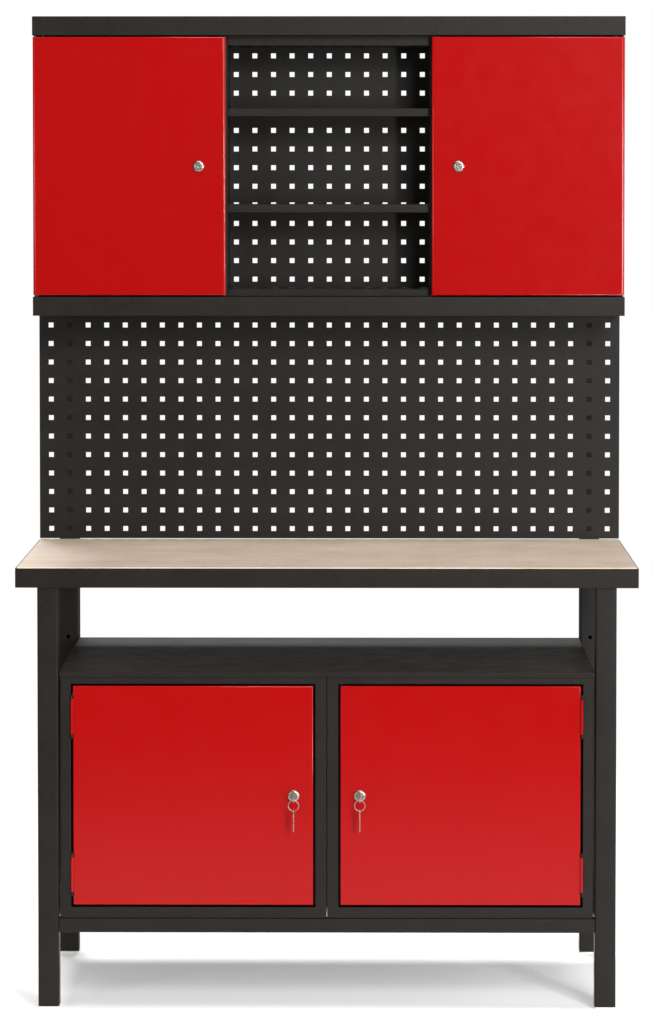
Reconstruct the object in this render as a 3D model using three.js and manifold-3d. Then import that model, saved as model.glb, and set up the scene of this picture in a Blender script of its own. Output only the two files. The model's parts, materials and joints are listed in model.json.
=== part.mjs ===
// Workbench with two lower cabinets, a perforated tool panel and an upper cabinet.
// Millimetres, +Z up, the front faces -Y. The origin is on the floor, at the middle of the footprint.

import * as THREE from 'three';
import { mergeGeometries, mergeVertices } from 'three/addons/utils/BufferGeometryUtils.js';
import Module from 'manifold-3d';

const wasm = await Module();
wasm.setup();

// Sheet metal and clearances
const SHEET = 1.5;
const FIT = 0.3;
const SHEET_BEND = 2.5;

// Worktop
const WORKTOP_WIDTH = 1190;
const WORKTOP_DEPTH = 600;
const WORKTOP_HEIGHT = 850;
const BOARD_THICKNESS = 30;
const BOARD_PROUD = 2;
const BOARD_CHAMFER = 1.2;
const APRON_HEIGHT = 37;
const APRON_WALL = 2;
const APRON_FLANGE = 45;
const APRON_CORNER = 3;

// Legs, feet and cross rails
const LEG_INSET = 41.5;
const LEG_SIZE = 40;
const LEG_WALL = 2;
const LEG_BEND = 3;
const LEG_SETBACK = 8;
const LEG_HOLE_RADIUS = 4;
const LEG_HOLE_HEIGHT = 652;
const FOOT_HEIGHT = 4;
const FOOT_SPIGOT = 20;
const RAIL_TOP = 174;
const RAIL_SIZE = 27;
const RAIL_WALL = 2;
const RAIL_BEND = 2;

// Storage shelf over the lower cabinets
const STORAGE_TOP = 648;
const STORAGE_BACK_GAP = 13.7;
const STORAGE_LIP = 10.7;
const STORAGE_SIDE_GAP = 1;

// Lower cabinets
const CABINET_SEAM = 1;
const CABINET_SIDE_GAP = 4;
const CABINET_SETBACK = 4;
const CABINET_BACK_GAP = 22.7;
const STILE_INNER = 21.5;
const STILE_OUTER = 19.5;
const FRAME_RAIL_TOP = 11.5;
const FRAME_RAIL_BOTTOM = 21.2;
const INNER_SHELF_HEIGHT = 255;
const INNER_SHELF_FRONT_GAP = 60;
const SHELF_LIP = 16;

// Doors
const DOOR_DEPTH = 20;
const DOOR_GAP = 4;
const DOOR_RETURN = 12;
const DOOR_STOP_GAP = 0.5;
const STRIKE_WIDTH = 12;

// Lower door hinges
const KNUCKLE_RADIUS = 2.5;
const KNUCKLE_LENGTH = 66;
const KNUCKLE_INSET = 26;
const KNUCKLE_LEAF = 10;
const HINGE_PIN_RADIUS = 1.5;
const HINGE_PIN_PLAY = 0.25;
const HINGE_LUG_LENGTH = 9;

// Uprights and tool panel
const UPRIGHT_WIDTH = 40;
const UPRIGHT_DEPTH = 25;
const UPRIGHT_FOOT = 560;
const PANEL_INSET = 1;
const PANEL_FIELD = 458;
const PANEL_GAP = 1;
const PANEL_RETURN = 12;
const HOLE_SIZE = 10;
const HOLE_PITCH = 38;
const HOLE_MARGIN = 12;

// Upper cabinet
const UPPER_GAP = 5;
const UPPER_HEIGHT = 600;
const UPPER_DEPTH = 166;
const UPPER_LIP = 38;
const LIP_RETURN = 20;
const UPPER_SIDE_INSET = 7.5;
const UPPER_SIDE_GAP = 1.8;
const UPPER_DOOR_GAP = 3;
const UPPER_DOOR_EDGE = 1;
const UPRIGHT_DROP = 20;
const BAY_WIDTH = 406;
const DIVIDER_FLANGE = 12;
const DIVIDER_REVEAL = 4;
const BAY_FLOOR_RISE = 14;
const BAY_CEILING_DROP = 20;
const BAY_SETBACK = 3;
const BAY_SHELF_RISES = { bay_shelf_lower: 185, bay_shelf_upper: 378 };
const COMPARTMENT_SHELF_RISE = 208;
const COMPARTMENT_SHELF_SETBACK = 45;
const PIVOT_RADIUS = 2.5;
const PIVOT_LENGTH = 6;
const PIVOT_EDGE = 5;

// Cam locks and keys
const LOWER_LOCK_EDGE = 37.3;
const UPPER_LOCK_EDGE = 53.5;
const LOCK_BEZEL_RADIUS = 11.2;
const LOCK_BEZEL_HEIGHT = 5;
const LOCK_BEZEL_BEVEL = 1.7;
const LOCK_BODY_RADIUS = 9;
const PLUG_RADIUS = 6;
const PLUG_RECESS = 0.5;
const CAM_THICKNESS = 2;
const CAM_WIDTH = 14;
const CAM_BITE = 6;
const CAM_CLEARANCE = 1;
const KEY_THICKNESS = 1.8;
const KEY_BLADE_WIDTH = 8.2;
const KEY_BLADE_LENGTH = 26;
const KEY_INSERTED = 18;
const KEY_BOW_WIDTH = 20;
const KEY_BOW_LENGTH = 18;
const KEY_BOW_CORNER = 6;
const KEY_SLOT_LENGTH = 14;
const KEY_SLOT_WIDTH = 5;
const KEY_SLOT_EDGE = 3;
const BARE_KEYWAY_DEPTH = 4;
const RING_RADIUS = 10;
const RING_WIRE_RADIUS = 0.8;

// Facets of the round stretches
const BEND_FACETS = 1;
const CAM_FACETS = 3;
const ROUND_FACETS = 12;
const PIN_FACETS = 8;
const RING_FACETS = 16;
const WIRE_FACETS = 5;
const MERGE_TOLERANCE = 1e-4;

// Lock and key stations along Y, from the front face of a door
const STRIKE_FRONT = DOOR_DEPTH + DOOR_STOP_GAP;
const CAM_FRONT = STRIKE_FRONT + SHEET + CAM_CLEARANCE;
const PLUG_FRONT = -LOCK_BEZEL_HEIGHT + PLUG_RECESS;
const KEYWAY_DEPTH = KEY_INSERTED + FIT;
const KEY_SHOULDER = PLUG_FRONT + KEY_INSERTED - KEY_BLADE_LENGTH;
const RING_HOLD = KEY_BOW_LENGTH - KEY_SLOT_EDGE - KEY_SLOT_WIDTH;
const RING_Y = KEY_SHOULDER - RING_HOLD - RING_WIRE_RADIUS - FIT;
// The ring hangs on the lower rim of the key's slot, with play enough for the key to turn in it.
const RING_DROP = KEY_SLOT_LENGTH / 2 - RING_WIRE_RADIUS - 2 * FIT;
const SPARE_KEY_TIP = KEY_SLOT_EDGE + RING_WIRE_RADIUS + FIT;

// Levels and planes that the pieces share. The hanging keys stand in front of the worktop.
const KEY_OVERHANG = KEY_BOW_WIDTH / 2 - RING_Y - LEG_SETBACK - CABINET_SETBACK;
const TOTAL_DEPTH = KEY_OVERHANG + WORKTOP_DEPTH + UPRIGHT_DEPTH;
const FRONT = -TOTAL_DEPTH / 2 + KEY_OVERHANG;
const WORKTOP_BACK = FRONT + WORKTOP_DEPTH;
const BOARD_BOTTOM = WORKTOP_HEIGHT - BOARD_THICKNESS;
const APRON_TOP = WORKTOP_HEIGHT - BOARD_PROUD;
const APRON_BOTTOM = APRON_TOP - APRON_HEIGHT;

const LEG_OUTER = WORKTOP_WIDTH / 2 - LEG_INSET;
const LEG_X = LEG_OUTER - LEG_SIZE / 2;
const LEG_INNER = LEG_OUTER - LEG_SIZE;
const LEG_FRONT = FRONT + LEG_SETBACK;
const REAR_LEG_BACK = WORKTOP_BACK - FIT;
const REAR_LEG_FRONT = REAR_LEG_BACK - LEG_SIZE;

const CABINET_INNER = CABINET_SEAM / 2;
const CABINET_OUTER = LEG_INNER - CABINET_SIDE_GAP;
const CABINET_FRONT = LEG_FRONT + CABINET_SETBACK;
const CABINET_BACK = REAR_LEG_BACK - CABINET_BACK_GAP;
const STORAGE_BACK = REAR_LEG_BACK - STORAGE_BACK_GAP;
const CABINET_BOTTOM = RAIL_TOP + FIT;
const CABINET_TOP = STORAGE_TOP - STORAGE_LIP - FIT;
const OPENING_INNER = CABINET_INNER + STILE_INNER;
const OPENING_OUTER = CABINET_OUTER - STILE_OUTER;
const OPENING_BOTTOM = CABINET_BOTTOM + FRAME_RAIL_BOTTOM;
const OPENING_TOP = CABINET_TOP - FRAME_RAIL_TOP;
const DOOR_INNER = OPENING_INNER + DOOR_GAP;
const DOOR_OUTER = OPENING_OUTER - DOOR_GAP;
const DOOR_BOTTOM = OPENING_BOTTOM + DOOR_GAP;
const DOOR_TOP = OPENING_TOP - DOOR_GAP;
const HINGE_X = (DOOR_OUTER + OPENING_OUTER) / 2;
const HINGE_Y = CABINET_FRONT - KNUCKLE_RADIUS - FIT;

const PANEL_BACK = WORKTOP_BACK - FIT;
const PANEL_FRONT = PANEL_BACK - SHEET;
const PANEL_BOTTOM = WORKTOP_HEIGHT + PANEL_GAP;
const PANEL_WIDTH = WORKTOP_WIDTH - 2 * PANEL_INSET;
const UPPER_WIDTH = PANEL_WIDTH;
const UPPER_BOTTOM = PANEL_BOTTOM + PANEL_FIELD + UPPER_GAP;
const UPPER_TOP = UPPER_BOTTOM + UPPER_HEIGHT;
const UPPER_FRONT = PANEL_BACK - UPPER_DEPTH;
const TRAY_TOP = UPPER_BOTTOM + UPPER_LIP;
const LID_LIP_BOTTOM = UPPER_TOP - UPPER_LIP;
const CEILING = UPPER_TOP - SHEET;
const UPPER_SIDE = UPPER_WIDTH / 2 - UPPER_SIDE_INSET;
const DIVIDER = BAY_WIDTH / 2;
const UPPER_STOP = UPPER_FRONT + STRIKE_FRONT;
const BAY_FRONT = UPPER_STOP + BAY_SETBACK;
const BAY_FLOOR = TRAY_TOP + BAY_FLOOR_RISE;
const BAY_CEILING = LID_LIP_BOTTOM - BAY_CEILING_DROP;
const UPPER_DOOR_INNER = DIVIDER + DIVIDER_REVEAL;
const UPPER_DOOR_OUTER = UPPER_WIDTH / 2 - UPPER_DOOR_EDGE;
const UPPER_DOOR_BOTTOM = TRAY_TOP + UPPER_DOOR_GAP;
const UPPER_DOOR_TOP = LID_LIP_BOTTOM - UPPER_DOOR_GAP;
const PIVOT_X = UPPER_DOOR_OUTER - PIVOT_EDGE;
const PIVOT_Y = UPPER_FRONT + PIVOT_EDGE;

const SIDES = { left: -1, right: 1 };

// Finishes
const BLACK_PAINT = { color: 0x37352f, roughness: 0.62, metalness: 0.0 };
const RED_PAINT = { color: 0xc41719, roughness: 0.34, metalness: 0.0 };
const WOOD = { color: 0xc8b9a5, roughness: 0.6, metalness: 0.0 };
const PALE_PLASTIC = { color: 0xb9b6b0, roughness: 0.55, metalness: 0.0 };
const NICKEL = { color: 0xb9b7b0, roughness: 0.28, metalness: 1.0 };
const ZINC = { color: 0x9a9a98, roughness: 0.4, metalness: 1.0 };

// A closed geometry as a solid for joins and cuts.
function toSolid(geometry) {
  const shell = new THREE.BufferGeometry();
  shell.setAttribute('position', geometry.getAttribute('position'));
  shell.setIndex(geometry.index);
  const merged = mergeVertices(shell, MERGE_TOLERANCE);
  const corners = merged.index.array;
  const triVerts = [];
  for (let i = 0; i < corners.length; i += 3) {
    const [a, b, c] = [corners[i], corners[i + 1], corners[i + 2]];
    if (a !== b && b !== c && c !== a) triVerts.push(a, b, c);
  }
  return new wasm.Manifold(new wasm.Mesh({
    numProp: 3,
    vertProperties: new Float32Array(merged.getAttribute('position').array),
    triVerts: new Uint32Array(triVerts),
  }));
}

// A solid back to a geometry with flat facets.
function toGeometry(solid) {
  const mesh = solid.getMesh();
  const indexed = new THREE.BufferGeometry();
  indexed.setAttribute('position', new THREE.BufferAttribute(mesh.vertProperties, mesh.numProp));
  indexed.setIndex(new THREE.BufferAttribute(mesh.triVerts, 1));
  const geometry = indexed.toNonIndexed();
  geometry.computeVertexNormals();
  return geometry;
}

// A block between two corners, given in any order.
function block(x0, x1, y0, y1, z0, z1) {
  const geometry = new THREE.BoxGeometry(Math.abs(x1 - x0), Math.abs(y1 - y0), Math.abs(z1 - z0));
  geometry.translate((x0 + x1) / 2, (y0 + y1) / 2, (z0 + z1) / 2);
  return toSolid(geometry);
}

const X = new THREE.Vector3(1, 0, 0);
const Y = new THREE.Vector3(0, 1, 0);
const Z = new THREE.Vector3(0, 0, 1);

// A shape drawn on the axes u and v, extruded along u x v.
function extrude(shape, depth, u, v, bevel = 0, curveSegments = BEND_FACETS) {
  const geometry = new THREE.ExtrudeGeometry(shape, {
    depth,
    curveSegments,
    bevelEnabled: bevel > 0,
    bevelThickness: bevel,
    bevelSize: bevel,
    bevelOffset: -bevel,
    bevelSegments: 1,
  });
  const along = new THREE.Vector3().crossVectors(u, v);
  return geometry.applyMatrix4(new THREE.Matrix4().makeBasis(u, v, along));
}

// A round bar from one end of an axis stretch to the other.
function roundBar(radius, from, to, axis, facets = ROUND_FACETS) {
  const geometry = new THREE.CylinderGeometry(radius, radius, to - from, facets);
  geometry.translate(0, (from + to) / 2, 0);
  if (axis === Z) geometry.rotateX(Math.PI / 2);
  return toSolid(geometry);
}

// A rectangle around the origin with rounded corners.
function roundedRectangle(width, height, corner) {
  const [w, h] = [width / 2, height / 2];
  const outline = new THREE.Shape();
  outline.moveTo(-w + corner, -h);
  outline.lineTo(w - corner, -h);
  outline.absarc(w - corner, -h + corner, corner, -Math.PI / 2, 0, false);
  outline.lineTo(w, h - corner);
  outline.absarc(w - corner, h - corner, corner, 0, Math.PI / 2, false);
  outline.lineTo(-w + corner, h);
  outline.absarc(-w + corner, h - corner, corner, Math.PI / 2, Math.PI, false);
  outline.lineTo(-w, -h + corner);
  outline.absarc(-w + corner, -h + corner, corner, Math.PI, Math.PI * 1.5, false);
  return outline;
}

// A square tube with bent outer corners and open ends, standing on the origin.
function squareTube(size, wall, bend, length) {
  const outside = extrude(roundedRectangle(size, size, bend), length, X, Y);
  const inside = size / 2 - wall;
  return toSolid(outside).subtract(block(-inside, inside, -inside, inside, -wall, length + wall));
}

const bench = new THREE.Group();

// Adds a named piece to a group. The shape is a solid or a geometry.
function piece(group, name, shape, finish) {
  const geometry = shape instanceof wasm.Manifold ? toGeometry(shape) : shape;
  const mesh = new THREE.Mesh(geometry, new THREE.MeshStandardMaterial(finish));
  mesh.name = name;
  group.add(mesh);
  return mesh;
}

// Worktop: a board dropped into a steel apron that has a flange and an upturned lip below it

function worktopFrame() {
  const centre = (FRONT + WORKTOP_BACK) / 2;
  const outline = roundedRectangle(WORKTOP_WIDTH, WORKTOP_DEPTH, APRON_CORNER);
  const outside = extrude(outline, APRON_HEIGHT, X, Y).translate(0, centre, APRON_BOTTOM);
  const inset = (edge, z0, z1) => block(
    -WORKTOP_WIDTH / 2 + edge, WORKTOP_WIDTH / 2 - edge, FRONT + edge, WORKTOP_BACK - edge, z0, z1);
  const lipTop = BOARD_BOTTOM - FIT;
  const lip = inset(APRON_FLANGE - APRON_WALL, APRON_BOTTOM, lipTop);
  const cavity = inset(APRON_WALL, APRON_BOTTOM + APRON_WALL, APRON_TOP + APRON_WALL);
  const middle = inset(APRON_FLANGE, APRON_BOTTOM - APRON_WALL, APRON_TOP);
  return toSolid(outside).subtract(cavity).add(lip).subtract(middle);
}

function worktopBoard() {
  const edge = 2 * (APRON_WALL + FIT);
  const outline = roundedRectangle(WORKTOP_WIDTH - edge, WORKTOP_DEPTH - edge, APRON_CORNER);
  const core = BOARD_THICKNESS - 2 * BOARD_CHAMFER;
  const board = extrude(outline, core, X, Y, BOARD_CHAMFER);
  return board.translate(0, (FRONT + WORKTOP_BACK) / 2, BOARD_BOTTOM + BOARD_CHAMFER);
}

piece(bench, 'worktop_frame', worktopFrame(), BLACK_PAINT);
piece(bench, 'worktop_board', worktopBoard(), WOOD);

// Legs, foot caps and cross rails

function leg(isRear) {
  const tube = squareTube(LEG_SIZE, LEG_WALL, LEG_BEND, APRON_BOTTOM - FIT - FOOT_HEIGHT);
  if (!isRear) return tube;
  const hole = roundBar(LEG_HOLE_RADIUS, -LEG_SIZE, 0, Y).translate(0, 0, LEG_HOLE_HEIGHT - FOOT_HEIGHT);
  return tube.subtract(hole);
}

function footCap() {
  const pad = extrude(roundedRectangle(LEG_SIZE, LEG_SIZE, LEG_BEND), FOOT_HEIGHT - FIT, X, Y);
  const half = LEG_SIZE / 2 - LEG_WALL - FIT;
  return toSolid(pad).add(block(-half, half, -half, half, 0, FOOT_HEIGHT + FOOT_SPIGOT));
}

const LEG_ROWS = { front: LEG_FRONT + LEG_SIZE / 2, rear: REAR_LEG_FRONT + LEG_SIZE / 2 };
for (const [row, y] of Object.entries(LEG_ROWS)) {
  for (const [side, sign] of Object.entries(SIDES)) {
    const mesh = piece(bench, `leg_${row}_${side}`, leg(row === 'rear'), BLACK_PAINT);
    mesh.position.set(sign * LEG_X, y, FOOT_HEIGHT);
    const foot = piece(bench, `foot_cap_${row}_${side}`, footCap(), PALE_PLASTIC);
    foot.position.set(sign * LEG_X, y, 0);
  }
}

const RAIL_Z = RAIL_TOP - RAIL_SIZE / 2;
const CROSS_LENGTH = 2 * (LEG_INNER - FIT);
const RAIL_ROWS = { front: LEG_FRONT + RAIL_SIZE / 2, rear: REAR_LEG_FRONT + RAIL_SIZE / 2 };
for (const [row, y] of Object.entries(RAIL_ROWS)) {
  const rail = piece(bench, `bottom_rail_${row}`, squareTube(RAIL_SIZE, RAIL_WALL, RAIL_BEND, CROSS_LENGTH),
    BLACK_PAINT);
  rail.rotation.y = Math.PI / 2;
  rail.position.set(-CROSS_LENGTH / 2, y, RAIL_Z);
}

const SIDE_FRONT = LEG_FRONT + LEG_SIZE + FIT;
const SIDE_LENGTH = REAR_LEG_FRONT - FIT - SIDE_FRONT;
for (const [side, sign] of Object.entries(SIDES)) {
  const rail = piece(bench, `bottom_rail_${side}`, squareTube(RAIL_SIZE, RAIL_WALL, RAIL_BEND, SIDE_LENGTH),
    BLACK_PAINT);
  rail.rotation.x = -Math.PI / 2;
  rail.position.set(sign * (LEG_INNER + RAIL_SIZE / 2), SIDE_FRONT, RAIL_Z);
}

// A sheet with a lip folded down on all four edges
function tray(x0, x1, y0, y1, top, lip) {
  const pocket = block(x0 + SHEET, x1 - SHEET, y0 + SHEET, y1 - SHEET, top - SHEET, top - lip - SHEET);
  return block(x0, x1, y0, y1, top, top - lip).subtract(pocket);
}

const STORAGE_EDGE = LEG_INNER - STORAGE_SIDE_GAP;
const storageShelf = tray(-STORAGE_EDGE, STORAGE_EDGE, CABINET_FRONT, STORAGE_BACK,
  STORAGE_TOP, STORAGE_LIP);
piece(bench, 'storage_shelf', storageShelf, BLACK_PAINT);

// Lower cabinets

function cabinetShell(sign) {
  const [inner, outer] = [sign * CABINET_INNER, sign * CABINET_OUTER];
  const front = CABINET_FRONT + SHEET + FIT;
  const wall = sign * SHEET;
  const inside = block(inner + wall, outer - wall, front - SHEET, CABINET_BACK - SHEET,
    CABINET_BOTTOM + SHEET, CABINET_TOP + SHEET);
  return block(inner, outer, front, CABINET_BACK, CABINET_BOTTOM, CABINET_TOP).subtract(inside);
}

// Heights of the lower ends of the two knuckles on a door.
const KNUCKLES = {
  lower: DOOR_BOTTOM + KNUCKLE_INSET,
  upper: DOOR_TOP - KNUCKLE_INSET - KNUCKLE_LENGTH,
};

// A short hinge barrel on the pin line, with its leaf, from height z0 to z1.
function hingeBarrel(sign, leafX, leafBack, z0, z1) {
  const x = sign * HINGE_X;
  const barrel = roundBar(KNUCKLE_RADIUS, z0, z1, Z, PIN_FACETS).translate(x, HINGE_Y, 0);
  const leaf = block(x, sign * leafX, HINGE_Y, leafBack, z0, z1);
  const bore = roundBar(HINGE_PIN_RADIUS + HINGE_PIN_PLAY, z0 - FIT, z1 + FIT, Z, PIN_FACETS);
  return barrel.add(leaf).subtract(bore.translate(x, HINGE_Y, 0));
}

function faceFrame(sign) {
  const y = CABINET_FRONT;
  const collarBack = y + STRIKE_FRONT + SHEET;
  const [inner, outer] = [sign * OPENING_INNER, sign * OPENING_OUTER];
  const wall = sign * SHEET;
  const plate = block(sign * CABINET_INNER, sign * CABINET_OUTER, y, y + SHEET, CABINET_BOTTOM, CABINET_TOP);
  const collar = block(inner - wall, outer + wall, y, collarBack,
    OPENING_BOTTOM - SHEET, OPENING_TOP + SHEET);
  const opening = block(inner, outer, y - SHEET, collarBack + SHEET, OPENING_BOTTOM, OPENING_TOP);
  const strike = block(inner - wall, inner + sign * STRIKE_WIDTH, y + STRIKE_FRONT, collarBack,
    OPENING_BOTTOM - SHEET, OPENING_TOP + SHEET);
  let frame = plate.add(collar).subtract(opening).add(strike);
  for (const bottom of Object.values(KNUCKLES)) {
    const top = bottom + KNUCKLE_LENGTH;
    for (const start of [bottom - FIT - HINGE_LUG_LENGTH, top + FIT]) {
      const lug = hingeBarrel(sign, OPENING_OUTER + SHEET, y + SHEET, start, start + HINGE_LUG_LENGTH);
      frame = frame.add(lug);
    }
  }
  return frame;
}

function innerShelf(sign) {
  const edge = SHEET + FIT;
  const edges = [sign * (CABINET_INNER + edge), sign * (CABINET_OUTER - edge)].sort((a, b) => a - b);
  const top = CABINET_BOTTOM + INNER_SHELF_HEIGHT;
  return tray(...edges, CABINET_FRONT + INNER_SHELF_FRONT_GAP, CABINET_BACK - edge, top, SHELF_LIP);
}

// Profile of a door seen along one edge: bent at the front, square at the back.
function doorProfile(size) {
  const profile = new THREE.Shape();
  profile.moveTo(0, DOOR_DEPTH);
  profile.lineTo(0, SHEET_BEND);
  profile.absarc(SHEET_BEND, SHEET_BEND, SHEET_BEND, Math.PI, Math.PI * 1.5, false);
  profile.lineTo(size - SHEET_BEND, 0);
  profile.absarc(size - SHEET_BEND, SHEET_BEND, SHEET_BEND, -Math.PI / 2, 0, false);
  profile.lineTo(size, DOOR_DEPTH);
  return profile;
}

// A folded door pan with a return all round its back, standing at its lower left front corner.
function doorPan(width, height) {
  const across = toSolid(extrude(doorProfile(width), height, X, Y));
  const upright = extrude(doorProfile(height), width, Z, Y).translate(width, 0, 0);
  const cavity = block(SHEET, width - SHEET, SHEET, DOOR_DEPTH - SHEET, SHEET, height - SHEET);
  const mouth = block(DOOR_RETURN, width - DOOR_RETURN, DOOR_DEPTH - 2 * SHEET, DOOR_DEPTH + SHEET,
    DOOR_RETURN, height - DOOR_RETURN);
  return across.intersect(toSolid(upright)).subtract(cavity).subtract(mouth);
}

// The hole that a lock body passes through, at the lock's place.
function lockHole(x, y, z) {
  const hole = roundBar(LOCK_BODY_RADIUS + FIT, -SHEET, 2 * SHEET, Y);
  return hole.translate(x, y, z);
}

function lowerDoor(sign) {
  const left = Math.min(sign * DOOR_INNER, sign * DOOR_OUTER);
  const pan = doorPan(DOOR_OUTER - DOOR_INNER, DOOR_TOP - DOOR_BOTTOM);
  let door = pan.translate(left, CABINET_FRONT, DOOR_BOTTOM);
  for (const bottom of Object.values(KNUCKLES)) {
    const leafBack = CABINET_FRONT + KNUCKLE_LEAF;
    door = door.add(hingeBarrel(sign, DOOR_OUTER - SHEET, leafBack, bottom, bottom + KNUCKLE_LENGTH));
  }
  return door.subtract(lockHole(sign * LOWER_LOCK_X, CABINET_FRONT, LOWER_LOCK_Z));
}

const LOWER_LOCK_X = DOOR_INNER + LOWER_LOCK_EDGE;
const LOWER_LOCK_Z = (DOOR_BOTTOM + DOOR_TOP) / 2;
const LOWER_CAM_REACH = LOWER_LOCK_X - OPENING_INNER - STRIKE_WIDTH + CAM_BITE;

for (const [side, sign] of Object.entries(SIDES)) {
  piece(bench, `cabinet_shell_${side}`, cabinetShell(sign), BLACK_PAINT);
  piece(bench, `face_frame_${side}`, faceFrame(sign), BLACK_PAINT);
  piece(bench, `inner_shelf_${side}`, innerShelf(sign), BLACK_PAINT);
  piece(bench, `lower_door_${side}`, lowerDoor(sign), RED_PAINT);
  for (const [level, bottom] of Object.entries(KNUCKLES)) {
    const reach = FIT + HINGE_LUG_LENGTH;
    const pin = roundBar(HINGE_PIN_RADIUS, -reach, KNUCKLE_LENGTH + reach, Z, PIN_FACETS);
    piece(bench, `hinge_pin_${level}_${side}`, pin, ZINC).position.set(sign * HINGE_X, HINGE_Y, bottom);
  }
}

// Uprights and tool panel

// A channel with its web at the front and its two flanges towards the back.
function channelSection(width, depth, wall, bend) {
  const half = width / 2;
  const section = new THREE.Shape();
  section.moveTo(-half, depth);
  section.lineTo(-half, bend);
  section.absarc(-half + bend, bend, bend, Math.PI, Math.PI * 1.5, false);
  section.lineTo(half - bend, 0);
  section.absarc(half - bend, bend, bend, -Math.PI / 2, 0, false);
  section.lineTo(half, depth);
  section.lineTo(half - wall, depth);
  section.lineTo(half - wall, wall);
  section.lineTo(-half + wall, wall);
  section.lineTo(-half + wall, depth);
  return section;
}

for (const [side, sign] of Object.entries(SIDES)) {
  const section = channelSection(UPRIGHT_WIDTH, UPRIGHT_DEPTH, LEG_WALL, LEG_BEND);
  const upright = extrude(section, UPPER_TOP - UPRIGHT_DROP - UPRIGHT_FOOT, X, Y);
  const placed = piece(bench, `upright_${side}`, upright, BLACK_PAINT);
  placed.position.set(sign * LEG_X, WORKTOP_BACK, UPRIGHT_FOOT);
}

// Centres of a row of holes in the middle of a stretch.
function holeCentres(from, to) {
  const count = Math.floor((to - from - 2 * HOLE_MARGIN) / HOLE_PITCH) + 1;
  const first = (from + to - (count - 1) * HOLE_PITCH) / 2;
  return Array.from({ length: count }, (_, i) => first + i * HOLE_PITCH);
}

// Cuts square holes over a field of a sheet that lies on the panel plane.
function perforate(sheet, field) {
  const punches = [];
  for (const x of holeCentres(field.left, field.right)) {
    for (const z of holeCentres(field.bottom, field.top)) {
      const punch = new THREE.BoxGeometry(HOLE_SIZE, 3 * SHEET, HOLE_SIZE);
      punches.push(punch.translate(x, PANEL_BACK - SHEET / 2, z));
    }
  }
  return sheet.subtract(toSolid(mergeGeometries(punches)));
}

// The tool panel has returns folded back at its sides, and between the uprights at its top and bottom.
function toolPanel() {
  const half = PANEL_WIDTH / 2;
  const top = TRAY_TOP;
  const back = PANEL_FRONT + PANEL_RETURN;
  const behind = (x0, x1, z0, z1) => block(x0, x1, PANEL_BACK, back + SHEET, z0, z1);
  let panel = block(-half, half, PANEL_FRONT, back, PANEL_BOTTOM, top)
    .subtract(behind(-half + SHEET, half - SHEET, PANEL_BOTTOM + SHEET, top - SHEET));
  const between = LEG_X - UPRIGHT_WIDTH / 2 - SHEET;
  for (const sign of Object.values(SIDES)) {
    const notch = behind(sign * between, sign * (half - SHEET), PANEL_BOTTOM - SHEET, top + SHEET);
    panel = panel.subtract(notch);
  }
  const fieldTop = PANEL_BOTTOM + PANEL_FIELD;
  return perforate(panel, { left: -half, right: half, bottom: PANEL_BOTTOM, top: fieldTop });
}

piece(bench, 'tool_panel', toolPanel(), BLACK_PAINT);

// Upper cabinet

// A pivot stud on the turning line of an upper door.
function pivotStud(sign, from, to) {
  return roundBar(PIVOT_RADIUS, from, to, Z, PIN_FACETS).translate(sign * PIVOT_X, PIVOT_Y, 0);
}

function upperLid() {
  const half = UPPER_WIDTH / 2;
  const inside = half - SHEET;
  const lipReturn = block(-half, half, UPPER_FRONT, UPPER_FRONT + LIP_RETURN, LID_LIP_BOTTOM,
    LID_LIP_BOTTOM + SHEET);
  let lid = block(-half, half, UPPER_FRONT, PANEL_BACK, LID_LIP_BOTTOM, UPPER_TOP)
    .subtract(block(-inside, inside, UPPER_FRONT + SHEET, PANEL_BACK + SHEET,
      LID_LIP_BOTTOM - SHEET, CEILING))
    .add(lipReturn);
  for (const sign of Object.values(SIDES)) {
    lid = lid.add(pivotStud(sign, UPPER_DOOR_TOP - PIVOT_LENGTH, LID_LIP_BOTTOM + SHEET));
  }
  return lid;
}

// The bottom tray stops at the tool panel, which runs up behind it.
function upperTray() {
  const half = UPPER_WIDTH / 2;
  const inside = half - SHEET;
  const back = PANEL_FRONT - FIT;
  let bottom = block(-half, half, UPPER_FRONT, back, UPPER_BOTTOM, TRAY_TOP)
    .subtract(block(-inside, inside, UPPER_FRONT + SHEET, back + SHEET,
      UPPER_BOTTOM - SHEET, TRAY_TOP - SHEET));
  for (const sign of Object.values(SIDES)) {
    bottom = bottom.add(pivotStud(sign, TRAY_TOP - SHEET, UPPER_DOOR_BOTTOM + PIVOT_LENGTH));
  }
  return bottom;
}

function upperBack() {
  const edge = UPPER_SIDE - SHEET - FIT;
  const sheet = block(-edge, edge, PANEL_FRONT, PANEL_BACK, TRAY_TOP + FIT, CEILING - FIT);
  return perforate(sheet, { left: -DIVIDER, right: DIVIDER, bottom: BAY_FLOOR, top: BAY_CEILING });
}

function upperSide(sign) {
  const outer = sign * UPPER_SIDE;
  const front = UPPER_FRONT + DOOR_DEPTH + UPPER_SIDE_GAP;
  return block(outer - sign * SHEET, outer, front, PANEL_BACK, TRAY_TOP + FIT, CEILING - FIT);
}

function divider(sign) {
  const inner = sign * DIVIDER;
  const back = PANEL_FRONT - FIT;
  const [bottom, top] = [TRAY_TOP + FIT, CEILING - FIT];
  return block(inner, inner + sign * SHEET, UPPER_STOP, back, bottom, top)
    .add(block(inner, inner + sign * DIVIDER_FLANGE, UPPER_STOP, UPPER_STOP + SHEET, bottom, top));
}

function bayTray(top, lip) {
  const edge = DIVIDER - FIT;
  return tray(-edge, edge, BAY_FRONT, PANEL_FRONT - FIT, top, lip);
}

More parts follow.
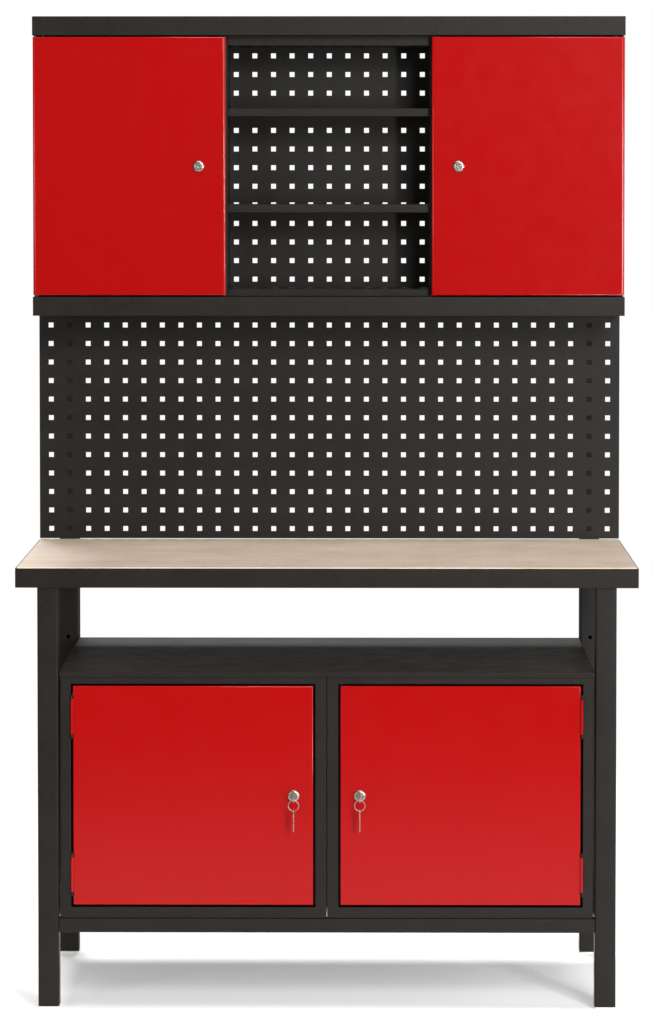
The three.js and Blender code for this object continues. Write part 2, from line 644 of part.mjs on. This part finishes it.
// The ceiling of the bay is a tray with its lips folded up.
function bayCeiling() {
  const edge = DIVIDER - FIT;
  const [front, back] = [BAY_FRONT, PANEL_FRONT - FIT];
  const pocket = block(-edge + SHEET, edge - SHEET, front + SHEET, back - SHEET,
    BAY_CEILING + SHEET, UPPER_TOP);
  return block(-edge, edge, front, back, BAY_CEILING, LID_LIP_BOTTOM).subtract(pocket);
}

function compartmentShelf(sign) {
  const inner = sign * (DIVIDER + SHEET + FIT);
  const outer = sign * (UPPER_SIDE - SHEET - FIT);
  const edges = [inner, outer].sort((a, b) => a - b);
  const front = UPPER_FRONT + COMPARTMENT_SHELF_SETBACK;
  return tray(...edges, front, PANEL_FRONT - FIT, TRAY_TOP + COMPARTMENT_SHELF_RISE, SHELF_LIP);
}

const UPPER_LOCK_X = UPPER_DOOR_INNER + UPPER_LOCK_EDGE;
const UPPER_LOCK_Z = (UPPER_DOOR_BOTTOM + UPPER_DOOR_TOP) / 2;
const UPPER_CAM_REACH = UPPER_LOCK_X - DIVIDER - DIVIDER_FLANGE + CAM_BITE;

function upperDoor(sign) {
  const left = Math.min(sign * UPPER_DOOR_INNER, sign * UPPER_DOOR_OUTER);
  const pan = doorPan(UPPER_DOOR_OUTER - UPPER_DOOR_INNER, UPPER_DOOR_TOP - UPPER_DOOR_BOTTOM);
  const pivotBore = (z) => roundBar(PIVOT_RADIUS + FIT, z - 2 * SHEET, z + 2 * SHEET, Z, PIN_FACETS)
    .translate(sign * PIVOT_X, PIVOT_Y, 0);
  return pan.translate(left, UPPER_FRONT, UPPER_DOOR_BOTTOM)
    .subtract(pivotBore(UPPER_DOOR_BOTTOM))
    .subtract(pivotBore(UPPER_DOOR_TOP))
    .subtract(lockHole(sign * UPPER_LOCK_X, UPPER_FRONT, UPPER_LOCK_Z));
}

piece(bench, 'upper_lid', upperLid(), BLACK_PAINT);
piece(bench, 'upper_tray', upperTray(), BLACK_PAINT);
piece(bench, 'upper_back', upperBack(), BLACK_PAINT);
piece(bench, 'bay_floor', bayTray(BAY_FLOOR, BAY_FLOOR_RISE - FIT), BLACK_PAINT);
piece(bench, 'bay_ceiling', bayCeiling(), BLACK_PAINT);
for (const [name, rise] of Object.entries(BAY_SHELF_RISES)) {
  piece(bench, name, bayTray(TRAY_TOP + rise, SHELF_LIP), BLACK_PAINT);
}
for (const [side, sign] of Object.entries(SIDES)) {
  piece(bench, `upper_side_${side}`, upperSide(sign), BLACK_PAINT);
  piece(bench, `upper_divider_${side}`, divider(sign), BLACK_PAINT);
  piece(bench, `compartment_shelf_${side}`, compartmentShelf(sign), BLACK_PAINT);
  piece(bench, `upper_door_${side}`, upperDoor(sign), RED_PAINT);
}

// Cam locks, drawn around the lock axis with the door's front face at y = 0

function lockHousing() {
  const bore = PLUG_RADIUS + FIT;
  const front = -LOCK_BEZEL_HEIGHT;
  const back = CAM_FRONT - FIT;
  const profile = [
    [bore, front],
    [LOCK_BEZEL_RADIUS - LOCK_BEZEL_BEVEL, front],
    [LOCK_BEZEL_RADIUS, front + LOCK_BEZEL_BEVEL],
    [LOCK_BEZEL_RADIUS, -FIT],
    [LOCK_BODY_RADIUS, -FIT],
    [LOCK_BODY_RADIUS, back],
    [bore, back],
    [bore, front],
  ];
  return new THREE.LatheGeometry(profile.map(([r, y]) => new THREE.Vector2(r, y)), ROUND_FACETS);
}

// The plug with its cam, which hangs straight down while the door is unlocked.
function lockPlug(camReach, keywayDepth) {
  const half = CAM_WIDTH / 2;
  const outline = new THREE.Shape();
  outline.absarc(0, 0, half, 0, Math.PI, false);
  outline.lineTo(-half, -camReach + half);
  outline.absarc(0, -camReach + half, half, Math.PI, Math.PI * 2, false);
  const cam = extrude(outline, CAM_THICKNESS, X, Z, 0, CAM_FACETS)
    .translate(0, CAM_FRONT + CAM_THICKNESS, 0);
  const keyway = block(-KEY_THICKNESS / 2 - FIT, KEY_THICKNESS / 2 + FIT, PLUG_FRONT - FIT,
    PLUG_FRONT + keywayDepth, -KEY_BLADE_WIDTH / 2 - FIT, KEY_BLADE_WIDTH / 2 + FIT);
  return roundBar(PLUG_RADIUS, PLUG_FRONT, CAM_FRONT + CAM_THICKNESS, Y).add(toSolid(cam)).subtract(keyway);
}

// A flat key: its bow starts at the origin and runs along -Y, its blade runs along +Y.
function key() {
  const bow = roundedRectangle(KEY_BOW_LENGTH, KEY_BOW_WIDTH, KEY_BOW_CORNER);
  const plate = extrude(bow, KEY_THICKNESS, Y, Z).translate(-KEY_THICKNESS / 2, -KEY_BOW_LENGTH / 2, 0);
  const blade = block(-KEY_THICKNESS / 2, KEY_THICKNESS / 2, -KEY_SLOT_EDGE, KEY_BLADE_LENGTH,
    -KEY_BLADE_WIDTH / 2, KEY_BLADE_WIDTH / 2);
  const slotFront = -KEY_BOW_LENGTH + KEY_SLOT_EDGE;
  const slot = block(-KEY_THICKNESS, KEY_THICKNESS, slotFront, slotFront + KEY_SLOT_WIDTH,
    -KEY_SLOT_LENGTH / 2, KEY_SLOT_LENGTH / 2);
  return toSolid(plate).add(blade).subtract(slot);
}

// A lock at its place on a door. A lower lock also has its key, ring and spare key.
function lock(name, x, y, z, camReach, hasKey) {
  const group = new THREE.Group();
  group.position.set(x, y, z);
  bench.add(group);
  piece(group, `lock_housing_${name}`, lockHousing(), NICKEL);
  piece(group, `lock_plug_${name}`, lockPlug(camReach, hasKey ? KEYWAY_DEPTH : BARE_KEYWAY_DEPTH), NICKEL);
  if (!hasKey) return;
  piece(group, `key_${name}`, key(), NICKEL).position.set(0, KEY_SHOULDER, 0);
  const wire = new THREE.TorusGeometry(RING_RADIUS, RING_WIRE_RADIUS, WIRE_FACETS, RING_FACETS);
  wire.rotateX(Math.PI / 2);
  piece(group, `key_ring_${name}`, wire, NICKEL).position.set(0, RING_Y, -RING_DROP - RING_RADIUS);
  const spare = piece(group, `spare_key_${name}`, key(), NICKEL);
  spare.position.set(0, RING_Y, -RING_DROP - 2 * RING_RADIUS + SPARE_KEY_TIP - KEY_BOW_LENGTH);
  spare.rotation.x = -Math.PI / 2;
}

for (const [side, sign] of Object.entries(SIDES)) {
  lock(`lower_${side}`, sign * LOWER_LOCK_X, CABINET_FRONT, LOWER_LOCK_Z, LOWER_CAM_REACH, true);
  lock(`upper_${side}`, sign * UPPER_LOCK_X, UPPER_FRONT, UPPER_LOCK_Z, UPPER_CAM_REACH, false);
}

export default bench;
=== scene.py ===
import json
import math

import bmesh
import bpy
from mathutils import Matrix, Vector


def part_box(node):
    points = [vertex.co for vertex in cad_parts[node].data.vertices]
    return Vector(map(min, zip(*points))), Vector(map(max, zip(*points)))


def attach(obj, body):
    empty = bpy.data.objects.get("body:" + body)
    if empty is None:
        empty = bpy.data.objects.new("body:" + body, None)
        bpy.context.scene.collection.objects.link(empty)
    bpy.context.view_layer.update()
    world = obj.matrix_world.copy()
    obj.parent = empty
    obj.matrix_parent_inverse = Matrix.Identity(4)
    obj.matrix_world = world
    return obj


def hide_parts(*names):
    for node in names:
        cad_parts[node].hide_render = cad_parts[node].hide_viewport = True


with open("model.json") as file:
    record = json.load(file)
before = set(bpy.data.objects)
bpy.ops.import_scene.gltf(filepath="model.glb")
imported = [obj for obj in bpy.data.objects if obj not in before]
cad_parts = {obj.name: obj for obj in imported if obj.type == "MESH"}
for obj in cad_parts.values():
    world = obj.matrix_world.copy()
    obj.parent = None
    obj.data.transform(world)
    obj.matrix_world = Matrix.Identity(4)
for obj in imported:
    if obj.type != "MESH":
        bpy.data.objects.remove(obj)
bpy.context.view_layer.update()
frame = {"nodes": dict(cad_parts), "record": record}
nodes = frame["nodes"]

SIDES = ("left", "right")
LEVELS = ("lower", "upper")
UP = (0, 0, 1)
BACKWARD = (0, 1, 0)

# Edges, in metres: how far they are rounded, in how many steps, and the seams closed before that
SHEET_EDGE = 0.0007
BOARD_EDGE = 0.0012
TRIM_EDGE = 0.0003
BEZEL_EDGE = 0.00015
EDGE_ANGLE = math.radians(38)
EDGE_STEPS = 2
FINE_STEPS = 3
SEAM = 0.00001
PERFORATED = ("tool_panel", "upper_back")
PLATED = ("nickel", "zinc")

# Flat facets around a turned piece, and the radius left open where its profile meets the axis
BEZEL_FACETS = 48
RING_FACETS = 64
WIRE_FACETS = 12
PIN_FACETS = 24
WASHER_FACETS = 32
HEXAGON = 6
CORE_RADIUS = 0.00002

# Lock housing, in metres along the lock from the door's front: a bezel, a body and a bore for the plug
BEZEL_RADIUS = 0.0112
BEZEL_HEIGHT = 0.005
BEZEL_LIFT = 0.0003
BODY_RADIUS = 0.009
BODY_BACK = 0.0227
BORE_RADIUS = 0.0063
BORE_CHAMFER = 0.0004

# The bezel's face from the bore outwards: radius, and depth behind its front. A flat, a step and a dome
BEZEL_FACE = (
    (BORE_RADIUS, BORE_CHAMFER),
    (BORE_RADIUS + BORE_CHAMFER, 0),
    (0.0082, 0),
    (0.0086, 0.0003),
    (0.0090, 0.0003),
    (0.0098, 0.0007),
    (0.0107, 0.0014),
    (BEZEL_RADIUS, 0.0023),
)
HOUSING_PROFILE = [(radius, depth - BEZEL_HEIGHT) for radius, depth in BEZEL_FACE] + [
    (BEZEL_RADIUS, -BEZEL_LIFT),
    (BODY_RADIUS, -BEZEL_LIFT),
    (BODY_RADIUS, BODY_BACK),
    (BORE_RADIUS, BODY_BACK),
]

# Hexagon nut on the lock's body, against the back of the door's sheet
DOOR_SHEET = 0.0015
NUT_RADIUS = 0.0135
NUT_THICKNESS = 0.004
NUT_CHAMFER = 0.0012
NUT_SHOULDER = NUT_THICKNESS * 0.8
NUT_PROFILE = [
    (BODY_RADIUS, DOOR_SHEET),
    (NUT_RADIUS, DOOR_SHEET),
    (NUT_RADIUS, DOOR_SHEET + NUT_SHOULDER),
    (NUT_RADIUS - NUT_CHAMFER, DOOR_SHEET + NUT_THICKNESS),
    (BODY_RADIUS, DOOR_SHEET + NUT_THICKNESS),
]

# Key rings and hinge pins
RING_RADIUS = 0.010
RING_WIRE = 0.0008
PIN_RADIUS = 0.0015
PIN_DOME = PIN_RADIUS * 0.45
PIN_SHOULDER = PIN_RADIUS * 0.7
PIN_SHOULDER_DEPTH = PIN_DOME * 0.25

# Bolts and screws. The chamfer, and the level above which the rim lies, are parts of a head's height
BOLT_RADIUS = 0.0065
BOLT_HEAD = 0.004
WASHER_RADIUS = 0.009
WASHER_THICKNESS = 0.0012
CAM_SCREW_RADIUS = 0.004
CAM_SCREW_HEAD = 0.0024
CAM_WASHER_RADIUS = CAM_SCREW_RADIUS * 1.3
HEAD_CHAMFER = 0.15
RIM_START = 0.9

# Heights of the bolts in each upright, and the sheet that their washers lie on
LEG_BOLTS = (0.600, 0.770)
PANEL_BOLTS = (0.930, 1.235)
CABINET_BOLTS = (1.420, 1.840)
UPRIGHT_WALL = 0.002

# Rolled edge of an upper door: the plain fold's radius, and how far the roll reaches across the front.
# The lines where the fold starts and where it is half turned, across and behind, in fold radii
FOLD_RADIUS = 0.0025
ROLL_WIDTH = 0.0065
FOLD_REACH = 0.0001
HALF_TURNED = 1 - math.sqrt(0.5)
FOLD_LINES = ((1, 0), (HALF_TURNED, HALF_TURNED))

# The photograph's frame in pixels, a sensor in millimetres, and the viewpoint in metres and radians
FRAME_HEIGHT = 1024
FOCAL_PIXELS = 4099.1
SENSOR = 36.0
CAMERA_PLACE = (0.0686, -8.0893, 1.6235)
CAMERA_PITCH = 0.0455
CAMERA_TURN = 0.00874
SHIFT_UP = -0.16

# Studio: a round floor that fades between two parts of its radius, and the light of the surroundings
FLOOR_RADIUS = 3.6
FLOOR_FACETS = 96
FLOOR_TONE = 0.90
FLOOR_ROUGHNESS = 0.8
FLOOR_GLOW = 0.3
FADE_START = 0.3
FADE_END = 0.95
SKY_LIGHT = 0.15
WHITE = (1.0, 1.0, 1.0)

# Area lights: name, place and target in metres, width and height in metres, power in watts
LIGHTS = (
    ("key", (2.2, -5.6, 4.2), (0, 0, 1.1), (1.6, 1.6), 150),
    ("front", (2.5, -6.8, 3.6), (0, 0, 1.3), (2.2, 2.0), 190),
    ("strip", (3.0, -6.2, 1.0), (0, 0, 1.0), (0.3, 1.7), 215),
    ("fill", (-3.4, -5.0, 1.7), (0, 0, 1.2), (1.6, 1.4), 52),
    ("side", (4.2, -0.4, 1.7), (0, 0, 1.5), (0.3, 2.4), 70),
    ("top", (0, -1.2, 5.2), (0, 0, 0), (3.0, 2.0), 80),
    ("back", (-0.7, 4.2, 5.6), (0, 0, 1.0), (3.0, 2.0), 400),
)

# A mix node's colour sockets, which share their names with its sockets for numbers
MIX_FIRST = 6
MIX_SECOND = 7
MIX_RESULT = 2


# Materials

class Material:
    """A node material around one shader, with short calls for the textures it uses."""

    def __init__(self, name):
        self.material = bpy.data.materials.new(name)
        self.material.use_nodes = True
        self.tree = self.material.node_tree
        self.shader = self.tree.nodes["Principled BSDF"]
        self.place = self.tree.nodes.new("ShaderNodeTexCoord").outputs["Object"]

    def link(self, source, target):
        self.tree.links.new(source, target)

    def set(self, **values):
        for name, value in values.items():
            self.shader.inputs[name.replace("_", " ")].default_value = value

    def noise(self, scale=1.0, detail=2.0, roughness=0.5, stretch=None):
        source = self.place
        if stretch:
            mapping = self.tree.nodes.new("ShaderNodeMapping")
            mapping.inputs["Scale"].default_value = stretch
            self.link(source, mapping.inputs["Vector"])
            source = mapping.outputs["Vector"]
        texture = self.tree.nodes.new("ShaderNodeTexNoise")
        texture.inputs["Scale"].default_value = scale
        texture.inputs["Detail"].default_value = detail
        texture.inputs["Roughness"].default_value = roughness
        self.link(source, texture.inputs["Vector"])
        return texture.outputs["Fac"]

    def ramp(self, source, stops):
        node = self.tree.nodes.new("ShaderNodeValToRGB")
        elements = node.color_ramp.elements
        while len(elements) < len(stops):
            elements.new(0.5)
        for element, (position, colour) in zip(elements, stops):
            element.position = position
            element.color = (*colour, 1.0)
        self.link(source, node.inputs["Fac"])
        return node.outputs["Color"]

    def darken(self, base, shade, amount=1.0):
        node = self.tree.nodes.new("ShaderNodeMix")
        node.data_type = "RGBA"
        node.blend_type = "MULTIPLY"
        node.inputs["Factor"].default_value = amount
        self.link(base, node.inputs[MIX_FIRST])
        self.link(shade, node.inputs[MIX_SECOND])
        return node.outputs[MIX_RESULT]

    def span(self, source, low, high, start=0.3, end=0.7):
        node = self.tree.nodes.new("ShaderNodeMapRange")
        node.inputs["From Min"].default_value = start
        node.inputs["From Max"].default_value = end
        node.inputs["To Min"].default_value = low
        node.inputs["To Max"].default_value = high
        self.link(source, node.inputs["Value"])
        return node.outputs["Result"]

    def bump(self, height, strength, distance):
        node = self.tree.nodes.new("ShaderNodeBump")
        node.inputs["Strength"].default_value = strength
        node.inputs["Distance"].default_value = distance
        self.link(height, node.inputs["Height"])
        self.link(node.outputs["Normal"], self.shader.inputs["Normal"])

    def colour(self, source):
        self.link(source, self.shader.inputs["Base Color"])

    def roughness(self, source):
        self.link(source, self.shader.inputs["Roughness"])


def tint(colour, factor):
    """A colour made lighter or darker."""
    return tuple(channel * factor for channel in colour)


def powder_coat(name, colour, gloss, rough, unevenness, grain, depth, relief, spread):
    """Stoved powder paint: fine grain, a faint cloudiness and uneven gloss."""
    paint = Material(name)
    cloud = paint.noise(scale=4.0, detail=3.0)
    speck = paint.noise(scale=grain, detail=1.0)
    gleam = paint.noise(scale=22.0, detail=4.0)
    clouded = paint.ramp(cloud, [(0.3, tint(colour, 1 - spread)), (0.7, tint(colour, 1 + spread))])
    specked = paint.ramp(speck, [(0.35, tint(WHITE, 1 - depth)), (0.65, WHITE)])
    paint.colour(paint.darken(clouded, specked))
    paint.roughness(paint.span(gleam, rough - unevenness, rough + unevenness))
    paint.bump(speck, strength=relief, distance=0.0003)
    paint.set(Specular_IOR_Level=gloss)
    return paint.material


def board_wood(name):
    """Pale sealed board: fine fibres and broader bands along its length, and blotches from use."""
    wood = Material(name)
    band = wood.noise(detail=5.0, roughness=0.6, stretch=(3.0, 11.0, 11.0))
    fibre = wood.noise(detail=3.0, roughness=0.6, stretch=(70.0, 420.0, 420.0))
    stain = wood.noise(scale=9.0, detail=6.0, roughness=0.65)
    base = wood.ramp(band, [
        (0.3, (0.71, 0.575, 0.46)),
        (0.5, (0.765, 0.63, 0.505)),
        (0.7, (0.81, 0.675, 0.545)),
    ])
    pores = wood.ramp(fibre, [(0.3, (0.74, 0.69, 0.63)), (0.5, WHITE)])
    worn = wood.ramp(stain, [(0.35, (0.86, 0.83, 0.79)), (0.6, WHITE)])
    grained = wood.darken(base, pores, amount=0.7)
    wood.colour(wood.darken(grained, worn, amount=0.8))
    wood.roughness(wood.span(fibre, 0.62, 0.48))
    wood.bump(fibre, strength=0.15, distance=0.0002)
    return wood.material


def plated_metal(name, colour, rough, brush):
    """Plated steel: fine brush marks, dulled here and there by handling."""
    metal = Material(name)
    metal.set(Metallic=1.0)
    marks = metal.noise(detail=3.0, roughness=0.6, stretch=brush)
    handled = metal.noise(scale=120.0, detail=4.0)
    metal.colour(metal.ramp(handled, [(0.3, tint(colour, 0.82)), (0.65, colour)]))
    metal.roughness(metal.span(handled, rough + 0.12, rough))
    metal.bump(marks, strength=0.06, distance=0.0001)
    return metal.material


def moulded_plastic(name, colour):
    """Plain moulded plastic with a fine grain and scuffs."""
    plastic = Material(name)
    grain = plastic.noise(scale=1600.0)
    scuff = plastic.noise(scale=60.0, detail=5.0)
    plastic.colour(plastic.ramp(scuff, [(0.3, tint(colour, 0.8)), (0.6, colour)]))
    plastic.roughness(plastic.span(scuff, 0.65, 0.5))
    plastic.bump(grain, strength=0.1, distance=0.0002)
    return plastic.material


MATERIALS = {
    "black_paint": powder_coat("black_paint", (0.0136, 0.0108, 0.0085), gloss=0.18, rough=0.44,
                               unevenness=0.05, grain=520.0, depth=0.55, relief=0.16, spread=0.06),
    "red_paint": powder_coat("red_paint", (0.338, 0.0014, 0.0016), gloss=0.25, rough=0.18,
                             unevenness=0.02, grain=420.0, depth=0.06, relief=0.02, spread=0.008),
    # A darker, more matt copy of the black paint for the uprights: painted shade, standing in for the
    # shadow that falls in the gap behind the perforated tool panel
    "painted_shade_black": powder_coat("painted_shade_black", (0.0092, 0.0078, 0.0066), gloss=0.12, rough=0.62,
                                unevenness=0.05, grain=520.0, depth=0.45, relief=0.10, spread=0.06),
    "wood_board": board_wood("wood_board"),
    "foot_plastic": moulded_plastic("foot_plastic", (0.78, 0.76, 0.72)),
    "nickel": plated_metal("nickel", (0.44, 0.39, 0.33), rough=0.24, brush=(400.0, 400.0, 400.0)),
    "zinc": plated_metal("zinc", (0.55, 0.55, 0.54), rough=0.32, brush=(900.0, 900.0, 60.0)),
}


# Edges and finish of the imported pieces

def round_edges(obj, width, steps=EDGE_STEPS):
    """Close the seams between facets, break the sharp edges and keep the broad faces flat."""
    obj.modifiers.new("seam", "WELD").merge_threshold = SEAM
    bevel = obj.modifiers.new("edge", "BEVEL")
    bevel.width = width
    bevel.segments = steps
    bevel.limit_method = "ANGLE"
    bevel.angle_limit = EDGE_ANGLE
    bevel.use_clamp_overlap = True
    obj.modifiers.new("flat", "WEIGHTED_NORMAL")


def finish_piece(obj, finish):
    """Give a piece one material all over."""
    obj.data.materials.clear()
    obj.data.materials.append(MATERIALS[finish])


def finish_node(name, obj, slot):
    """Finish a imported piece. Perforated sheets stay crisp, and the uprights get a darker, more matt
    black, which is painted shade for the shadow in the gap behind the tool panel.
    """
    finish_piece(obj, "painted_shade_black" if name.startswith("upright") else slot)
    if name in PERFORATED:
        obj.data.shade_flat()
        return
    obj.data.shade_smooth()
    if name == "worktop_board":
        round_edges(obj, BOARD_EDGE, FINE_STEPS)
    elif slot in PLATED:
        round_edges(obj, TRIM_EDGE)
    else:
        round_edges(obj, SHEET_EDGE)


# Shapes

def as_mesh(form, name):
    """Mesh data from a finished form."""
    mesh = bpy.data.meshes.new(name)
    form.to_mesh(mesh)
    form.free()
    return mesh


def stand(place, axis):
    """The move that takes a form built upward from the origin to a place, along an axis."""
    turn = Vector(UP).rotation_difference(Vector(axis)).to_matrix().to_4x4()
    return Matrix.Translation(place) @ turn


def middle_of(node):
    """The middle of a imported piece's box."""
    low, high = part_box(node)
    return (low + high) / 2


def turned(profile, facets, place, axis):
    """A closed profile of (radius, height) points turned about an axis through place."""
    form = bmesh.new()
    rings = []
    for step in range(facets):
        angle = 2 * math.pi * step / facets
        ring = []
        for radius, height in profile:
            reach = max(radius, CORE_RADIUS)
            ring.append(form.verts.new((reach * math.cos(angle), reach * math.sin(angle), height)))
        rings.append(ring)
    count = len(profile)
    for step in range(facets):
        here = rings[step]
        there = rings[(step + 1) % facets]
        for i in range(count):
            following = (i + 1) % count
            form.faces.new((here[i], there[i], there[following], here[following]))
    bmesh.ops.recalc_face_normals(form, faces=form.faces)
    form.transform(stand(place, axis))
    mesh = as_mesh(form, "turned")
    mesh.shade_smooth()
    return mesh


def bolt_head(radius, thickness, washer, place, axis):
    """A chamfered hexagon head on its washer, seated at place and standing along the axis."""
    form = bmesh.new()
    layers = (
        (WASHER_FACETS, washer, 0, WASHER_THICKNESS),
        (HEXAGON, radius, WASHER_THICKNESS, thickness),
    )
    for sides, reach, start, height in layers:
        lift = Matrix.Translation((0, 0, start + height / 2))
        bmesh.ops.create_cone(form, cap_ends=True, segments=sides, radius1=reach, radius2=reach,
                              depth=height, matrix=lift)
        rim_level = start + height * RIM_START
        rim = [edge for edge in form.edges if all(end.co.z > rim_level for end in edge.verts)]
        bmesh.ops.bevel(form, geom=rim, offset=height * HEAD_CHAMFER, segments=EDGE_STEPS, affect="EDGES")
    form.transform(stand(place, axis))
    return as_mesh(form, "bolt")


# New pieces

def add_object(name, data):
    """A new object in the scene."""
    obj = bpy.data.objects.new(name, data)
    bpy.context.scene.collection.objects.link(obj)
    return obj


def add_piece(name, mesh, body, slot, replaced=None):
    """A new piece on a body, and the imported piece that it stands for, if any."""
    obj = add_object(name, mesh)
    finish_piece(obj, slot)
    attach(obj, body)
    if replaced:
        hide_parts(replaced)
    return obj


def fit_bolts(side):
    """Bolts in the channel of an upright, into the rear leg, the tool panel and the upper cabinet."""
    node = f"upright_{side}"
    x = middle_of(node).x
    low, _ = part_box(node)
    for count, z in enumerate(LEG_BOLTS + PANEL_BOLTS + CABINET_BOLTS, 1):
        head = bolt_head(BOLT_RADIUS, BOLT_HEAD, WASHER_RADIUS, (x, low.y + UPRIGHT_WALL, z), BACKWARD)
        add_piece(f"bolt_{side}_{count}", head, "bench", "zinc")


def roll_door(side):
    """An upper door whose upright edges roll in over a wider strip of its front than the plain fold."""
    node = f"upper_door_{side}"
    low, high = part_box(node)
    form = bmesh.new()
    form.from_mesh(nodes[node].data)
    bmesh.ops.remove_doubles(form, verts=form.verts, dist=SEAM)
    for vert in form.verts:
        edge, inward = (low.x, 1) if vert.co.x < (low.x + high.x) / 2 else (high.x, -1)
        here = Vector(((vert.co.x - edge) * inward, vert.co.y - low.y))
        for across, behind in FOLD_LINES:
            if (here - Vector((across, behind)) * FOLD_RADIUS).length < FOLD_REACH:
                vert.co.x = edge + inward * across * ROLL_WIDTH
    mesh = as_mesh(form, "door")
    mesh.shade_smooth()
    round_edges(add_piece(f"door_panel_{side}", mesh, node, "red_paint", node), SHEET_EDGE)


def fit_cam_screw(level, side):
    """The screw that holds the cam on the back of a lock's plug."""
    _, plug_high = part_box(f"lock_plug_{level}_{side}")
    middle = middle_of(f"lock_housing_{level}_{side}")
    place = (middle.x, plug_high.y, middle.z)
    head = bolt_head(CAM_SCREW_RADIUS, CAM_SCREW_HEAD, CAM_WASHER_RADIUS, place, BACKWARD)
    add_piece(f"cam_screw_{level}_{side}", head, f"{level}_lock_{side}", "zinc")


def fit_lock(level, side):
    """A lock's housing through its door, and the nut behind the door."""
    node = f"lock_housing_{level}_{side}"
    body = f"{level}_door_{side}"
    low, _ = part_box(node)
    middle = middle_of(node)
    seat = (middle.x, low.y + BEZEL_HEIGHT, middle.z)
    housing = turned(HOUSING_PROFILE, BEZEL_FACETS, seat, BACKWARD)
    bezel = add_piece(f"bezel_{level}_{side}", housing, body, "nickel", node)
    round_edges(bezel, BEZEL_EDGE, FINE_STEPS)
    nut = turned(NUT_PROFILE, HEXAGON, seat, BACKWARD)
    round_edges(add_piece(f"lock_nut_{level}_{side}", nut, body, "zinc"), TRIM_EDGE, FINE_STEPS)


def fit_pin(level, side):
    """A hinge pin with domed ends."""
    node = f"hinge_pin_{level}_{side}"
    low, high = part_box(node)
    middle = middle_of(node)
    length = high.z - low.z
    profile = [
        (0, 0),
        (PIN_SHOULDER, PIN_SHOULDER_DEPTH),
        (PIN_RADIUS, PIN_DOME),
        (PIN_RADIUS, length - PIN_DOME),
        (PIN_SHOULDER, length - PIN_SHOULDER_DEPTH),
        (0, length),
    ]
    pin = turned(profile, PIN_FACETS, (middle.x, middle.y, low.z), UP)
    add_piece(f"pin_{level}_{side}", pin, "bench", "zinc", node)


def hang_ring(side):
    """The wire ring that hangs from a lower lock's key."""
    node = f"key_ring_lower_{side}"
    profile = []
    for step in range(WIRE_FACETS):
        angle = 2 * math.pi * step / WIRE_FACETS
        profile.append((RING_RADIUS + RING_WIRE * math.cos(angle), RING_WIRE * math.sin(angle)))
    ring = turned(profile, RING_FACETS, middle_of(node), BACKWARD)
    add_piece(f"ring_{side}", ring, f"key_ring_{side}", "nickel", node)


# Floor, light and camera

def pale_floor():
    """A pale round floor that fades into the background at its rim."""
    form = bmesh.new()
    bmesh.ops.create_circle(form, cap_ends=True, segments=FLOOR_FACETS, radius=FLOOR_RADIUS)
    floor = add_object("floor", as_mesh(form, "floor"))
    surface = Material("floor")
    surface.set(Base_Color=(*tint(WHITE, FLOOR_TONE), 1.0), Roughness=FLOOR_ROUGHNESS)
    surface.set(Emission_Color=(*WHITE, 1.0), Emission_Strength=FLOOR_GLOW)
    distance = surface.tree.nodes.new("ShaderNodeVectorMath")
    distance.operation = "LENGTH"
    surface.link(surface.place, distance.inputs[0])
    fade = surface.span(distance.outputs["Value"], 1.0, 0.0, start=FLOOR_RADIUS * FADE_START,
                        end=FLOOR_RADIUS * FADE_END)
    surface.link(fade, surface.shader.inputs["Alpha"])
    floor.data.materials.append(surface.material)


def studio_sky():
    """White as a background, and a softer white as light on the object."""
    world = bpy.data.worlds.new("studio")
    bpy.context.scene.world = world
    world.use_nodes = True
    tree = world.node_tree
    sky = tree.nodes["Background"]
    sky.inputs["Color"].default_value = (*WHITE, 1.0)
    rays = tree.nodes.new("ShaderNodeLightPath")
    level = tree.nodes.new("ShaderNodeMapRange")
    level.inputs["To Min"].default_value = SKY_LIGHT
    level.inputs["To Max"].default_value = 1.0
    tree.links.new(rays.outputs["Is Camera Ray"], level.inputs["Value"])
    tree.links.new(level.outputs["Result"], sky.inputs["Strength"])


def area_light(name, place, target, size, power):
    """A rectangular light at a place, facing a target."""
    light = bpy.data.lights.new(name, "AREA")
    light.shape = "RECTANGLE"
    light.size, light.size_y = size
    light.energy = power
    obj = add_object(name, light)
    obj.location = place
    obj.rotation_euler = (Vector(target) - Vector(place)).to_track_quat("-Z", "Y").to_euler()


def photo_camera():
    """The camera at the photograph's viewpoint."""
    lens = bpy.data.cameras.new("camera")
    lens.sensor_width = SENSOR
    lens.lens = FOCAL_PIXELS / FRAME_HEIGHT * SENSOR
    lens.shift_y = SHIFT_UP
    camera = add_object("camera", lens)
    camera.location = CAMERA_PLACE
    camera.rotation_euler = (math.pi / 2 - CAMERA_PITCH, 0, CAMERA_TURN)
    bpy.context.scene.camera = camera


slots = {part["node"]: part["material_slot"] for part in frame["record"]["subparts"]}
for name, obj in nodes.items():
    finish_node(name, obj, slots[name])

for side in SIDES:
    fit_bolts(side)
    roll_door(side)
    for level in LEVELS:
        fit_cam_screw(level, side)
        fit_lock(level, side)
        fit_pin(level, side)
    hang_ring(side)

bpy.context.scene.view_settings.view_transform = "Standard"
pale_floor()
studio_sky()
for light in LIGHTS:
    area_light(*light)
photo_camera()
